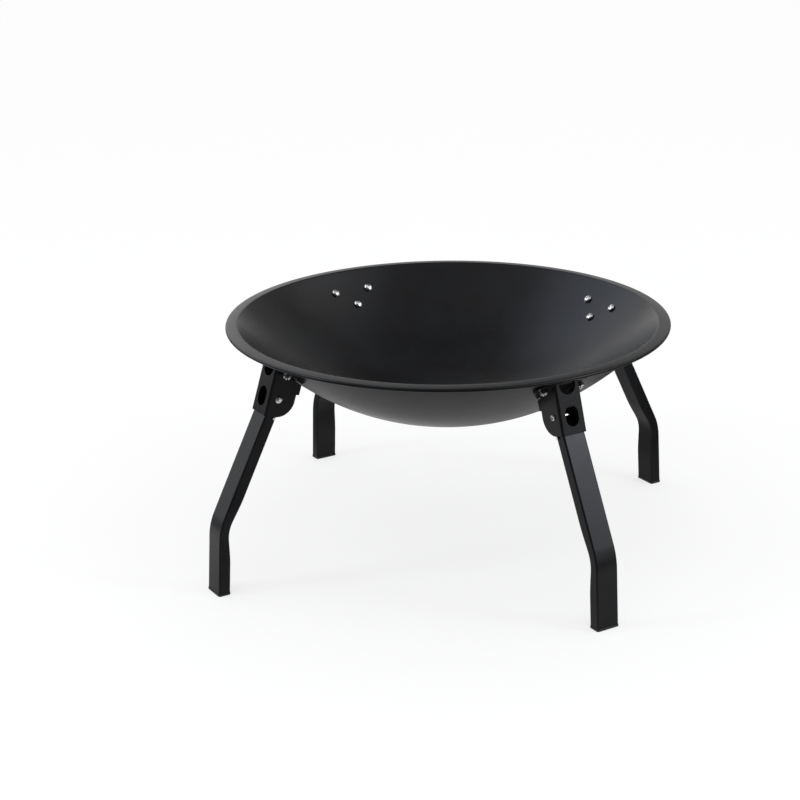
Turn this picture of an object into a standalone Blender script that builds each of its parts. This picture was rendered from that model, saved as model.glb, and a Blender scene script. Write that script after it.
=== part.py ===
"""A fire bowl on four folding legs.

Metres, +Z up. The origin is on the floor, under the middle of the bowl. Each leg has a station, an azimuth
about the bowl's axis: the station's X points out from that axis, its Y lies along the leg's hinge and its Z
is up. A leg folds inwards by turning about +Y of its station.
"""

import math

import bmesh
import bpy
from mathutils import Matrix, Vector

# Clearance between pieces that touch on the real product
GAP = 0.0003

# Bowl: pressed sheet with a falling lip and an open rolled hem
RIM_RADIUS = 0.2750
RIM_HEIGHT = 0.2900
BOWL_SHEET = 0.0012
LIP_WIDTH = 0.0157
LIP_BEND_RADIUS = 0.0032
LIP_FALL = math.radians(4.5)
HEM_RADIUS = 0.0022
HEM_OPENING = 0.0012
WALL_FALL = 0.1196
WALL_POWER = 2.33

# Leg: rectangular tube, bent once at the knee, with its lower end cut level
TUBE_WIDTH = 0.0300
TUBE_DEPTH = 0.0150
TUBE_WALL = 0.0012
TUBE_CORNER = 0.0020
LEG_LEAN = math.radians(26.7)
FOOT_SPLAY = math.radians(3.6)
KNEE_HEIGHT = 0.0830
KNEE_RADIUS = 0.0650
KNEE_STEPS = 4
# The outer wall is cut out from the top end down, behind the bracket's slot
CUTOUT_WIDTH = 0.0195
CUTOUT_DROP = 0.0190

# Foot cap: sole, and a hollow plug that goes up the tube
CAP_SOLE = 0.0028
CAP_PROUD = 0.0005
CAP_EDGE = 0.0006
PLUG_HEIGHT = 0.0120
PLUG_WALL = 0.0015

# Hinge: place of the pivot under the rim, and the fixed stop pin across the leg
PIVOT_INSET = 0.0270
PIVOT_DROP = 0.0555
RIVET_RADIUS = 0.0030
RIVET_HEAD_RADIUS = 0.00475
RIVET_HEAD_HEIGHT = 0.0022
RIVET_TAIL_FLARE = 0.0006
RIVET_TAIL_HEIGHT = 0.0012
RIVET_DIMPLE_RADIUS = 0.0018
PIN_RADIUS = 0.0018
PIN_WALL_SPACE = 0.0005
SIDE_PLAY = 0.0003
SWING_SPACE = 0.0005

# Bracket: one folded sheet, with a web outside the leg, an ear each side and a plate bolted under the bowl
BRACKET_SHEET = 0.0018
BRACKET_BEND = 0.0028
WEB_LEAN = math.radians(17.5)
EAR_RADIUS = 0.0221
SHOULDER_RISE = 0.0080
SHOULDER_STEP = 0.0040
SLOT_WIDTH = 0.0175
SLOT_HEIGHT = 0.0240
SLOT_DROP = 0.0014
NOTCH_RADIUS = 0.0110
NOTCH_DROP = 0.0025
PLATE_UPPER_CORNER = 0.0115
PLATE_LOWER_CORNER = 0.0095

# Fasteners: two bolts outside the ears and one between them
BOLT_INSET = 0.0365
BOLT_FROM_EAR = 0.0080
LOWER_BOLT_INSET = 0.0534
BOLT_RADIUS = 0.0025
BOLT_HEAD_RADIUS = 0.0052
BOLT_HEAD_HEIGHT = 0.0034
BOLT_HEAD_EDGE = 0.0012
BOLT_PROUD = 0.0015
NUT_ACROSS_FLATS = 0.0080
NUT_HEIGHT = 0.0040
NUT_CHAMFER = 0.0005

# Fineness: flat facets of the bowl from one station to the next quarter's axis, and of each curve
EIGHTH_STEPS = 7
WALL_STEPS = 11
TURNED_STEPS = 12
HOLE_STEPS = 8
CORNER_STEPS = 2
ARC_STEPS = 6
DOME_STEPS = 2
HEM_STEPS = 6
SMOOTH_ANGLE = math.radians(35)

# Azimuth of each station about the bowl's axis
STATIONS = {
    "front_right": math.radians(-45),
    "back_right": math.radians(45),
    "back_left": math.radians(135),
    "front_left": math.radians(-135),
}

# Ways to look at an outline: out through the web with Y up, and along the hinge
FRONT_VIEW = Matrix(((0, 0, 1, 0), (1, 0, 0, 0), (0, 1, 0, 0), (0, 0, 0, 1)))
HINGE_VIEW = Matrix.Rotation(math.pi / 2, 4, "X")

# Sizes that follow from the ones above
BOWL_STEPS = 8 * EIGHTH_STEPS
WALL_RADIUS = RIM_RADIUS - LIP_WIDTH
WALL_TOP_SLOPE = math.atan(WALL_FALL * WALL_POWER / WALL_RADIUS)
WALL_TOP = RIM_HEIGHT - LIP_BEND_RADIUS * (1 - math.cos(WALL_TOP_SLOPE))
HEM_TURN = 2 * math.pi - math.acos((HEM_RADIUS - BOWL_SHEET - HEM_OPENING) / HEM_RADIUS)
PIVOT = Vector((RIM_RADIUS - PIVOT_INSET, 0, RIM_HEIGHT - PIVOT_DROP))
KNEE = Vector((PIVOT.x + (PIVOT.z - KNEE_HEIGHT) * math.tan(LEG_LEAN), 0, KNEE_HEIGHT))
BRACKET_HALF = TUBE_WIDTH / 2 + SIDE_PLAY + BRACKET_SHEET
# The unfolded leg's outer face rests on the lower edge of the web, which sets the web's place
STOP_LEAN = LEG_LEAN - WEB_LEAN
WEB_INNER = (TUBE_DEPTH / 2 + GAP) / math.cos(STOP_LEAN) + EAR_RADIUS * math.tan(STOP_LEAN)
WEB_OUTER = WEB_INNER + BRACKET_SHEET
LEG_TOP = math.sqrt((WEB_INNER - SWING_SPACE) ** 2 - (TUBE_DEPTH / 2) ** 2)
# The pin lies inside the tube's inner wall and runs just outside the ears' round edges
PIN_INWARD = TUBE_DEPTH / 2 - TUBE_WALL - PIN_RADIUS - PIN_WALL_SPACE
PIN_REACH = EAR_RADIUS + GAP + PIN_RADIUS
PIN_DOWN = math.sqrt(PIN_REACH**2 - PIN_INWARD**2)
BOLT_SPREAD = BRACKET_HALF + BOLT_FROM_EAR
BOLT_RADII = (RIM_RADIUS - BOLT_INSET, RIM_RADIUS - LOWER_BOLT_INSET)
PLATE_TOP = BOWL_SHEET + GAP
PLATE_BOTTOM = PLATE_TOP + BRACKET_SHEET
NUT_SEAT = PLATE_BOTTOM + GAP


def clear_scene():
    for item in list(bpy.data.objects):
        bpy.data.objects.remove(item, do_unlink=True)


def material(name, colour, metallic, roughness):
    finish = bpy.data.materials.new(name)
    finish.use_nodes = True
    shader = finish.node_tree.nodes["Principled BSDF"]
    shader.inputs["Base Color"].default_value = (*colour, 1)
    shader.inputs["Metallic"].default_value = metallic
    shader.inputs["Roughness"].default_value = roughness
    return finish


def polar(radius, angle, height):
    return Vector((radius * math.cos(angle), radius * math.sin(angle), height))


def arc(centre, radius, start, end, steps):
    """Points in a plane, from the start angle to the end angle."""
    angles = [start + (end - start) * i / steps for i in range(steps + 1)]
    return [(centre[0] + radius * math.cos(a), centre[1] + radius * math.sin(a)) for a in angles]


def hole_outline(centre, radius, steps):
    """Outline of a round hole. Its flats touch the circle, and its corners miss the mirror planes."""
    half_step = math.pi / steps
    return arc(centre, radius / math.cos(half_step), half_step, half_step + 2 * math.pi, steps)[:-1]


def rounded_rectangle(half_x, half_y, corner):
    """Outline of a rectangle with round corners, anticlockwise."""
    points = []
    for quarter, (x, y) in enumerate(((1, 1), (-1, 1), (-1, -1), (1, -1))):
        centre = (x * (half_x - corner), y * (half_y - corner))
        start = quarter * math.pi / 2
        points += arc(centre, corner, start, start + math.pi / 2, CORNER_STEPS)
    return points


def finished_mesh(bm, name):
    """Mesh of a bmesh, faces out and round faces shaded smooth."""
    bmesh.ops.recalc_face_normals(bm, faces=bm.faces)
    mesh = bpy.data.meshes.new(name)
    bm.to_mesh(mesh)
    bm.free()
    mesh.shade_smooth()
    mesh.set_sharp_from_angle(angle=SMOOTH_ANGLE)
    return mesh


def lofted(name, rings, closed):
    """Skin over rings of equal counts. The last ring joins the first, or both ends are filled."""
    bm = bmesh.new()
    loops = [[bm.verts.new(point) for point in ring] for ring in rings]
    pairs = list(zip(loops, loops[1:] + loops[:1]))
    if not closed:
        pairs.pop()
        bm.faces.new(loops[0])
        bm.faces.new(loops[-1])
    for lower, upper in pairs:
        for i in range(len(lower)):
            j = (i + 1) % len(lower)
            bm.faces.new((lower[i], lower[j], upper[j], upper[i]))
    return finished_mesh(bm, name)


def turned(name, profile, steps):
    """Full turn about Z of a profile that starts and ends on the axis."""
    bm = bmesh.new()
    first = bm.verts.new((0, 0, profile[0][1]))
    last = bm.verts.new((0, 0, profile[-1][1]))
    rings = []
    for radius, height in profile[1:-1]:
        rings.append([bm.verts.new(polar(radius, 2 * math.pi * i / steps, height)) for i in range(steps)])
    for i in range(steps):
        j = (i + 1) % steps
        bm.faces.new((first, rings[0][i], rings[0][j]))
        bm.faces.new((last, rings[-1][j], rings[-1][i]))
        for upper, lower in zip(rings, rings[1:]):
            bm.faces.new((upper[i], lower[i], lower[j], upper[j]))
    return finished_mesh(bm, name)


def extruded(name, outline, low, high, frame):
    """Outline in the frame's X and Y, extruded along the frame's Z."""
    rings = [[frame @ Vector((x, y, depth)) for x, y in outline] for depth in (low, high)]
    return lofted(name, rings, closed=False)


def drill(name, radius, low, high, frame):
    """Cutter for a round hole along the frame's Z."""
    return extruded(name, hole_outline((0, 0), radius, HOLE_STEPS), low, high, frame)


def combined(mesh, tools, operation):
    """The mesh after each tool in turn is cut from it, joined to it or crossed with it."""
    body = bpy.data.objects.new(mesh.name, mesh)
    bpy.context.collection.objects.link(body)
    helpers = []
    for tool in tools:
        helper = bpy.data.objects.new(tool.name, tool)
        bpy.context.collection.objects.link(helper)
        helpers.append(helper)
        modifier = body.modifiers.new(tool.name, "BOOLEAN")
        modifier.operation = operation
        modifier.solver = "EXACT"
        modifier.object = helper
    evaluated = body.evaluated_get(bpy.context.evaluated_depsgraph_get())
    result = bpy.data.meshes.new_from_object(evaluated)
    name = mesh.name
    for used in [body, *helpers]:
        used_mesh = used.data
        bpy.data.objects.remove(used, do_unlink=True)
        bpy.data.meshes.remove(used_mesh)
    result.name = name
    return result


def placed(name, mesh, finish, matrix, parent=None):
    """Object that shows a mesh. The matrix is in world space, or in the parent's if it has one."""
    item = bpy.data.objects.new(name, mesh)
    bpy.context.collection.objects.link(item)
    item.parent = parent
    item.matrix_local = matrix
    if not mesh.materials:
        mesh.materials.append(finish)
    return item


def wall_slope(radius):
    return math.atan(WALL_FALL * WALL_POWER / WALL_RADIUS * (radius / WALL_RADIUS) ** (WALL_POWER - 1))


def wall_point(radius, below):
    """Radius, height and slope at the point this far under the wall's inner face, square to it."""
    slope = wall_slope(radius)
    height = WALL_TOP - WALL_FALL * (1 - (radius / WALL_RADIUS) ** WALL_POWER)
    return radius + below * math.sin(slope), height - below * math.cos(slope), slope


def wall_radii():
    """Radii of the wall's facet edges, which the bracket's plate shares."""
    return [WALL_RADIUS * i / WALL_STEPS for i in range(WALL_STEPS + 1)]


def facet_rise(radius):
    """How far the middle of a flat facet of the wall stands inside the wall's true curve."""
    slope = wall_slope(radius)
    half_step = WALL_RADIUS / WALL_STEPS / 2
    bend = wall_slope(radius + half_step) - wall_slope(radius - half_step)
    round_the_bowl = radius * (1 - math.cos(math.pi / BOWL_STEPS)) * math.sin(slope)
    down_the_wall = half_step / math.cos(slope) * bend / 4
    return round_the_bowl + down_the_wall


def bowl_path():
    """Upper face of the sheet from the middle to the end of the hem: radius, height and direction."""
    path = [wall_point(r, 0) for r in wall_radii()]

    def bend(radius, start, end, steps):
        """Bend to the right from the path's last point."""
        r, z, _ = path[-1]
        centre = (r + radius * math.sin(start), z - radius * math.cos(start))
        for i in range(1, steps + 1):
            a = start + (end - start) * i / steps
            path.append((centre[0] - radius * math.sin(a), centre[1] + radius * math.cos(a), a))

    bend(LIP_BEND_RADIUS, WALL_TOP_SLOPE, -LIP_FALL, 3)
    lip_end = RIM_RADIUS - HEM_RADIUS + HEM_RADIUS * math.sin(LIP_FALL)
    r, z, direction = path[-1]
    path.append((lip_end, z - (lip_end - r) * math.tan(LIP_FALL), direction))
    bend(HEM_RADIUS, -LIP_FALL, -LIP_FALL - HEM_TURN, HEM_STEPS)
    return path


def bowl_mesh():
    path = bowl_path()
    upper = [(r, z) for r, z, _ in path]
    under = [(r + BOWL_SHEET * math.sin(a), z - BOWL_SHEET * math.cos(a)) for r, z, a in path]
    bowl = turned("bowl", upper + under[::-1], BOWL_STEPS)
    return combined(bowl, bolt_holes(STATIONS.values()), "DIFFERENCE")


def bolt_seats():
    """Place of each bolt in a station: +Z up its axis into the bowl, Z = 0 on the wall's inner face."""
    seats = {}
    upper, lower = BOLT_RADII
    for name, radius, offset in (
        ("left", upper, -BOLT_SPREAD),
        ("right", upper, BOLT_SPREAD),
        ("lower", lower, 0),
    ):
        r, z, slope = wall_point(radius, 0)
        turn = Matrix.Rotation(math.asin(offset / radius), 4, "Z")
        seats[name] = turn @ Matrix.Translation((r, 0, z)) @ Matrix.Rotation(-slope, 4, "Y")
    return seats


def bolt_holes(azimuths):
    """Cutters for the bolt holes through the bowl and the plates, at the stations with these azimuths."""
    cutters = []
    for azimuth in azimuths:
        for name, seat in bolt_seats().items():
            frame = Matrix.Rotation(azimuth, 4, "Z") @ seat
            reach = 2 * PLATE_BOTTOM
            cutters.append(drill(f"{name}_hole", BOLT_RADIUS + GAP, -reach, reach, frame))
    return cutters


def bracket_frame():
    """The bracket's own frame: X out through the web, Y along the hinge, Z up the web, from the pivot."""
    return Matrix.Translation(PIVOT) @ Matrix.Rotation(-WEB_LEAN, 4, "Y")


def seat_at(across, below):
    """Point under the wall, in the bracket's frame, at this distance outward from the pivot."""
    to_bracket = bracket_frame().inverted()
    low = 0.0
    high = RIM_RADIUS
    for _ in range(40):
        middle = (low + high) / 2
        r, z, _ = wall_point(middle, below)
        point = to_bracket @ Vector((r, 0, z))
        if point.x < across:
            low = middle
        else:
            high = middle
    return point


def channel_mesh():
    """Web and ears: a U section along the web, crossed with the ears' outline."""
    # The ears' upper edge lies inside the plate's sheet, whose sides rise as they go round the bowl
    below = PLATE_TOP + BRACKET_SHEET / 4
    inner = -EAR_RADIUS - SHOULDER_STEP
    outline = [(WEB_OUTER, -EAR_RADIUS)]
    outline += arc((0, 0), EAR_RADIUS, -math.pi / 2, -math.pi, ARC_STEPS)
    outline += [(-EAR_RADIUS, SHOULDER_RISE), (inner, SHOULDER_RISE)]
    for i in range(ARC_STEPS + 1):
        point = seat_at(inner + (WEB_OUTER - inner) * i / ARC_STEPS, below)
        outline.append((point.x, point.z))
    ears = extruded("ears", outline, -2 * BRACKET_HALF, 2 * BRACKET_HALF, HINGE_VIEW)

    section = u_section(2 * inner)
    reach = 2 * outline[-1][1]
    channel = extruded("channel", section, -reach, reach, Matrix.Identity(4))
    return combined(channel, [ears], "INTERSECT")


def u_section(open_end):
    """Closed outline of the folded sheet, seen along the web."""
    outer = BRACKET_BEND
    inner = max(BRACKET_BEND - BRACKET_SHEET, GAP)
    inner_half = BRACKET_HALF - BRACKET_SHEET
    points = [(open_end, -BRACKET_HALF)]
    points += arc((WEB_OUTER - outer, outer - BRACKET_HALF), outer, -math.pi / 2, 0, CORNER_STEPS + 1)
    points += arc((WEB_OUTER - outer, BRACKET_HALF - outer), outer, 0, math.pi / 2, CORNER_STEPS + 1)
    points += [(open_end, BRACKET_HALF), (open_end, inner_half)]
    points += arc((WEB_INNER - inner, inner_half - inner), inner, math.pi / 2, 0, 1)
    points += arc((WEB_INNER - inner, inner - inner_half), inner, 0, -math.pi / 2, 1)
    points.append((open_end, -inner_half))
    return points


def plate_mesh():
    """Plate under the bowl: a shell of the wall's own curve, cut to a triangle round its bolts."""
    seats = bolt_seats()
    step = 2 * math.pi / BOWL_STEPS
    inner = RIM_RADIUS - LOWER_BOLT_INSET - 2 * PLATE_LOWER_CORNER
    radii = [r for r in wall_radii() if r > inner - WALL_RADIUS / WALL_STEPS]
    section = [wall_point(r, PLATE_TOP) for r in radii] + [wall_point(r, PLATE_BOTTOM) for r in radii[::-1]]
    half_turn = math.ceil((BOLT_SPREAD + 2 * PLATE_UPPER_CORNER) / inner / step)
    rings = []
    for i in range(-half_turn, half_turn + 1):
        turn = Matrix.Rotation(i * step, 4, "Z")
        rings.append([turn @ Vector((r, 0, z)) for r, z, _ in section])
    shell = lofted("shell", rings, closed=False)

    # The triangle's cutter is the hull of round posts at the bolts and of the web's upper corners
    square_to_wall = Matrix.Rotation(-wall_slope(sum(BOLT_RADII) / 2), 4, "Y")
    web_top = bracket_frame() @ seat_at(WEB_OUTER, PLATE_TOP)
    columns = [web_top + Vector((0, y, 0)) for y in (-BRACKET_HALF, BRACKET_HALF)]
    for name, seat in seats.items():
        corner = PLATE_LOWER_CORNER if name == "lower" else PLATE_UPPER_CORNER
        post = Matrix.Translation(seat.translation) @ square_to_wall
        for x, y in hole_outline((0, 0), corner, 3 * ARC_STEPS):
            columns.append(post @ Vector((x, y, 0)))
    reach = square_to_wall @ Vector((0, 0, BOLT_INSET))
    bm = bmesh.new()
    for column in columns:
        bm.verts.new(column - reach)
        bm.verts.new(column + reach)
    bmesh.ops.convex_hull(bm, input=bm.verts)
    bmesh.ops.delete(bm, geom=[v for v in bm.verts if not v.link_faces], context="VERTS")
    plate = combined(shell, [finished_mesh(bm, "triangle")], "INTERSECT")
    plate.transform(bracket_frame().inverted())
    return plate


def bracket_mesh():
    to_bracket = bracket_frame().inverted()
    bracket = combined(channel_mesh(), [plate_mesh()], "UNION")
    bracket.name = "bracket"

    half = SLOT_WIDTH / 2
    rise = (SLOT_HEIGHT - SLOT_WIDTH) / 2
    slot = arc((0, rise - SLOT_DROP), half, 0, math.pi, ARC_STEPS)
    slot += arc((0, -rise - SLOT_DROP), half, math.pi, 2 * math.pi, ARC_STEPS)
    notch_centre = seat_at(WEB_OUTER, PLATE_BOTTOM).z - NOTCH_DROP
    notch = hole_outline((0, notch_centre), NOTCH_RADIUS, 4 * ARC_STEPS)
    low = WEB_INNER - BRACKET_SHEET / 2
    high = WEB_OUTER + BRACKET_SHEET
    cutters = [
        extruded("slot", slot, low, high, FRONT_VIEW),
        extruded("notch", notch, low, high, FRONT_VIEW),
        drill("pivot_hole", RIVET_RADIUS + GAP, -2 * BRACKET_HALF, 2 * BRACKET_HALF, HINGE_VIEW),
    ]
    for hole in bolt_holes([0]):
        hole.transform(to_bracket)
        cutters.append(hole)
    return combined(bracket, cutters, "DIFFERENCE")


def leg_direction(lean):
    """Down the leg where it leans outward by this angle."""
    return Vector((math.sin(lean), 0, -math.cos(lean)))


def leg_ring(centre, lean, section):
    """Section of the leg: X square to the leg and outward, Y along the hinge."""
    outward = Vector((math.cos(lean), 0, math.sin(lean)))
    return [centre + x * outward + Vector((0, y, 0)) for x, y in section]


def foot_ring(section, height):
    """Section of the lower leg, carried along the leg to a level plane at this height above the floor."""
    down = leg_direction(FOOT_SPLAY)
    level = height - PIVOT.z
    ring = leg_ring(KNEE - PIVOT, FOOT_SPLAY, section)
    return [point + down * ((level - point.z) / down.z) for point in ring]


def leg_rings(section):
    """Rings of the leg's tube about the pivot, from its top end to its level lower end."""
    upper = leg_direction(LEG_LEAN)
    half_bend = (LEG_LEAN - FOOT_SPLAY) / 2
    start = KNEE - PIVOT - upper * KNEE_RADIUS * math.tan(half_bend)
    centre = start - KNEE_RADIUS * Vector((math.cos(LEG_LEAN), 0, math.sin(LEG_LEAN)))
    rings = [leg_ring(-upper * LEG_TOP, LEG_LEAN, section)]
    for i in range(KNEE_STEPS + 1):
        lean = LEG_LEAN + (FOOT_SPLAY - LEG_LEAN) * i / KNEE_STEPS
        outward = Vector((math.cos(lean), 0, math.sin(lean)))
        rings.append(leg_ring(centre + KNEE_RADIUS * outward, lean, section))
    rings.append(foot_ring(section, CAP_SOLE + GAP))
    return rings


def tube_section(inset):
    """Outline of the tube, moved in by a distance, or out by a negative one."""
    corner = max(TUBE_CORNER - inset, GAP)
    return rounded_rectangle(TUBE_DEPTH / 2 - inset, TUBE_WIDTH / 2 - inset, corner)


def pin_place():
    """Centre of the stop pin, from the pivot."""
    inward = Vector((-math.cos(LEG_LEAN), 0, -math.sin(LEG_LEAN)))
    return leg_direction(LEG_LEAN) * PIN_DOWN + inward * PIN_INWARD


def leg_mesh():
    outside = leg_rings(tube_section(0))
    inside = leg_rings(tube_section(TUBE_WALL))
    tube = lofted("leg", outside + inside[::-1], closed=True)
    half = CUTOUT_WIDTH / 2
    cutout = [(half, 2 * LEG_TOP), (-half, 2 * LEG_TOP)]
    cutout += arc((0, half - CUTOUT_DROP), half, math.pi, 2 * math.pi, ARC_STEPS)
    square_to_leg = Matrix.Rotation(-LEG_LEAN, 4, "Y") @ FRONT_VIEW
    at_pin = Matrix.Translation(pin_place()) @ HINGE_VIEW
    cutters = [
        extruded("cutout", cutout, 0, TUBE_DEPTH, square_to_leg),
        drill("rivet_hole", RIVET_RADIUS + GAP, -TUBE_WIDTH, TUBE_WIDTH, HINGE_VIEW),
        drill("pin_hole", PIN_RADIUS + GAP, -TUBE_WIDTH, TUBE_WIDTH, at_pin),
    ]
    return combined(tube, cutters, "DIFFERENCE")


def cap_mesh():
    sole = tube_section(-CAP_PROUD)
    plug = tube_section(TUBE_WALL + GAP)
    hollow = tube_section(TUBE_WALL + GAP + PLUG_WALL)
    rings = [
        foot_ring(tube_section(CAP_EDGE - CAP_PROUD), 0),
        foot_ring(sole, CAP_EDGE),
        foot_ring(sole, CAP_SOLE),
        foot_ring(plug, CAP_SOLE),
        foot_ring(plug, CAP_SOLE + PLUG_HEIGHT),
        foot_ring(hollow, CAP_SOLE + PLUG_HEIGHT),
        foot_ring(hollow, CAP_SOLE),
    ]
    return lofted("foot_cap", rings, closed=False)


def dome(radius, low, high):
    """Profile of a domed head from its top, on the axis, down to its edge."""
    rise = high - low
    sphere = (radius**2 + rise**2) / (2 * rise)
    half = math.asin(radius / sphere)
    angles = [half * i / DOME_STEPS for i in range(DOME_STEPS + 1)]
    return [(sphere * math.sin(a), high - sphere + sphere * math.cos(a)) for a in angles]


def rivet_mesh():
    """Pivot rivet along Z: domed head above Z = 0, hollow peened tail under the far ear."""
    length = 2 * BRACKET_HALF + 2 * GAP
    tail = -length - RIVET_TAIL_HEIGHT
    profile = dome(RIVET_HEAD_RADIUS, GAP, RIVET_HEAD_HEIGHT)
    profile += [
        (RIVET_HEAD_RADIUS, 0),
        (RIVET_RADIUS, 0),
        (RIVET_RADIUS, -length),
        (RIVET_RADIUS + RIVET_TAIL_FLARE, -length),
        (RIVET_RADIUS + RIVET_TAIL_FLARE, tail),
        (RIVET_DIMPLE_RADIUS, tail),
        (0, tail + RIVET_TAIL_HEIGHT),
    ]
    return turned("pivot_rivet", profile, TURNED_STEPS)


def pin_mesh():
    """Stop pin along Z, as long as the bracket is wide, with rounded ends."""
    end = BRACKET_HALF
    profile = [
        (0, end),
        (PIN_RADIUS - GAP, end),
        (PIN_RADIUS, end - GAP),
        (PIN_RADIUS, GAP - end),
        (PIN_RADIUS - GAP, -end),
        (0, -end),
    ]
    return turned("stop_pin", profile, TURNED_STEPS)


def bolt_mesh():
    """Bolt along Z: pan head inside the bowl, shank out through the wall, the plate and the nut."""
    shank_end = -(NUT_SEAT + NUT_HEIGHT + BOLT_PROUD)
    seat = GAP + max(facet_rise(radius) for radius in BOLT_RADII)
    profile = dome(BOLT_HEAD_RADIUS, seat + BOLT_HEAD_EDGE, seat + BOLT_HEAD_HEIGHT)
    profile += [
        (BOLT_HEAD_RADIUS, seat),
        (BOLT_RADIUS, seat),
        (BOLT_RADIUS, shank_end),
        (0, shank_end),
    ]
    return turned("bolt", profile, TURNED_STEPS)


def nut_mesh():
    """Hexagon nut along Z, its seat up against the plate and its lower edge chamfered."""
    flat = NUT_ACROSS_FLATS / 2
    corner = flat / math.cos(math.pi / 6)
    bore = BOLT_RADIUS + GAP
    end = NUT_SEAT + NUT_HEIGHT
    rings = []
    for depth, at_corners, at_flats in (
        (NUT_SEAT, bore, bore),
        (NUT_SEAT, corner, flat),
        (end - NUT_CHAMFER, corner, flat),
        (end, flat, flat),
        (end, bore, bore),
    ):
        radii = [at_corners, at_flats] * 6
        rings.append([polar(radius, math.pi / 6 * i, -depth) for i, radius in enumerate(radii)])
    return lofted("nut", rings, closed=True)


def build():
    clear_scene()
    coat = material("black_heat_coat", (0.016, 0.016, 0.017), 0.0, 0.45)
    zinc = material("bright_zinc", (0.76, 0.77, 0.78), 1.0, 0.28)
    plastic = material("black_plastic", (0.012, 0.012, 0.012), 0.0, 0.6)

    placed("bowl", bowl_mesh(), coat, Matrix.Identity(4))
    bracket = bracket_mesh()
    leg = leg_mesh()
    cap = cap_mesh()
    rivet = rivet_mesh()
    pin = pin_mesh()
    bolt = bolt_mesh()
    nut = nut_mesh()
    along_hinge = Matrix.Rotation(-math.pi / 2, 4, "X")
    head_side = Matrix.Translation((0, BRACKET_HALF + GAP, 0))

    for name, azimuth in STATIONS.items():
        station = Matrix.Rotation(azimuth, 4, "Z")
        placed(f"bracket_{name}", bracket, coat, station @ bracket_frame())
        hinge = bpy.data.objects.new(f"fold_axis_{name}", None)
        bpy.context.collection.objects.link(hinge)
        hinge.matrix_world = station @ Matrix.Translation(PIVOT)
        placed(f"pivot_rivet_{name}", rivet, zinc, hinge.matrix_world @ head_side @ along_hinge)
        placed(f"leg_{name}", leg, coat, Matrix.Identity(4), hinge)
        placed(f"foot_cap_{name}", cap, plastic, Matrix.Identity(4), hinge)
        placed(f"stop_pin_{name}", pin, zinc, Matrix.Translation(pin_place()) @ along_hinge, hinge)
        for side, seat in bolt_seats().items():
            placed(f"bolt_{side}_{name}", bolt, zinc, station @ seat)
            placed(f"nut_{side}_{name}", nut, zinc, station @ seat)


build()
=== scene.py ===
"""Studio picture of a fire bowl on four folding legs.

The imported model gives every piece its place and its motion. This script stands a finer piece of the same size in for
each node, gives it the finish of the real one, and sets the floor, the lamps and the camera.

Metres, +Z up, with the origin on the floor under the middle of the bowl. Each leg has a station, an azimuth about the
bowl's axis: the station's X points out from that axis, its Y lies along the leg's hinge and its Z is up.
"""

import logging
import math
from collections.abc import Callable, Iterable, Sequence
from dataclasses import dataclass, field
from enum import Enum
from typing import Any

import bmesh
import bpy
from bpy.types import Material, Mesh, Node, NodeSocket, NodeTree, Object
from mathutils import Matrix, Vector


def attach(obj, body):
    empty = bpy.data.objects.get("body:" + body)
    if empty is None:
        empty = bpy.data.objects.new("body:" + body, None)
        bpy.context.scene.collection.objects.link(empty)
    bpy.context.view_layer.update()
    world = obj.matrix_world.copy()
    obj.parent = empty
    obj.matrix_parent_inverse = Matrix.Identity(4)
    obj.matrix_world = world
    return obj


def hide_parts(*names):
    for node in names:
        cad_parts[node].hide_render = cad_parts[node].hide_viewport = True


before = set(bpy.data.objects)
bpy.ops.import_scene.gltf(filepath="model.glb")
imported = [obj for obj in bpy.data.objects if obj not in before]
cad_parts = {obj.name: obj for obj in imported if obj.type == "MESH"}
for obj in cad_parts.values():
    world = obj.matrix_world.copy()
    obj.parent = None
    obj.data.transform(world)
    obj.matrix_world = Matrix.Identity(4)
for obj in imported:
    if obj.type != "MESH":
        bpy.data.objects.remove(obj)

log = logging.getLogger("fire_bowl")

MM = 0.001
GAP = 0.3 * MM
WHITE = (1.0, 1.0, 1.0, 1.0)

# Faces that meet at less than this are shaded as one surface
SMOOTH_ANGLE = math.radians(38)
ROUNDING_SEGMENTS = 3
# Cutting leaves points this close, edges this short and folds this flat, and none of them is kept
WELD = 0.03 * MM
SLIVER = 0.02 * MM
FLAT_ANGLE = math.radians(0.3)

# Ways to look at an outline: out through the web with Y up, and along the hinge
FRONT_VIEW = Matrix(((0, 0, 1, 0), (1, 0, 0, 0), (0, 1, 0, 0), (0, 0, 0, 1)))
HINGE_VIEW = Matrix.Rotation(math.pi / 2, 4, "X")
# Lays a turned piece along the hinge
ALONG_HINGE = Matrix.Rotation(-math.pi / 2, 4, "X")

Point = tuple[float, float]
Section = list[Point]
Inputs = dict[str | int, Any]


class Station(Enum):
    """Azimuth of each leg about the bowl's axis, in degrees."""

    FRONT_RIGHT = -45.0
    BACK_RIGHT = 45.0
    BACK_LEFT = 135.0
    FRONT_LEFT = -135.0

    @property
    def label(self) -> str:
        """Name that ends the names of the station's nodes."""
        return self.name.lower()

    @property
    def turn(self) -> Matrix:
        """Turn from the row frame to the station."""
        return Matrix.Rotation(math.radians(self.value), 4, "Z")

    @property
    def leg_body(self) -> str:
        """Name of the body that folds at this station."""
        return f"leg_{self.label}_body"


class BoltPlace(Enum):
    """Where a bolt goes through the bracket's plate."""

    LEFT = "left"
    RIGHT = "right"
    LOWER = "lower"


class Slot(Enum):
    """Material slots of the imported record."""

    HEAT_COAT = "heat_coat"
    ZINC = "zinc"
    CAP_PLASTIC = "cap_plastic"


# Nodes of materials and of the world


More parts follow.
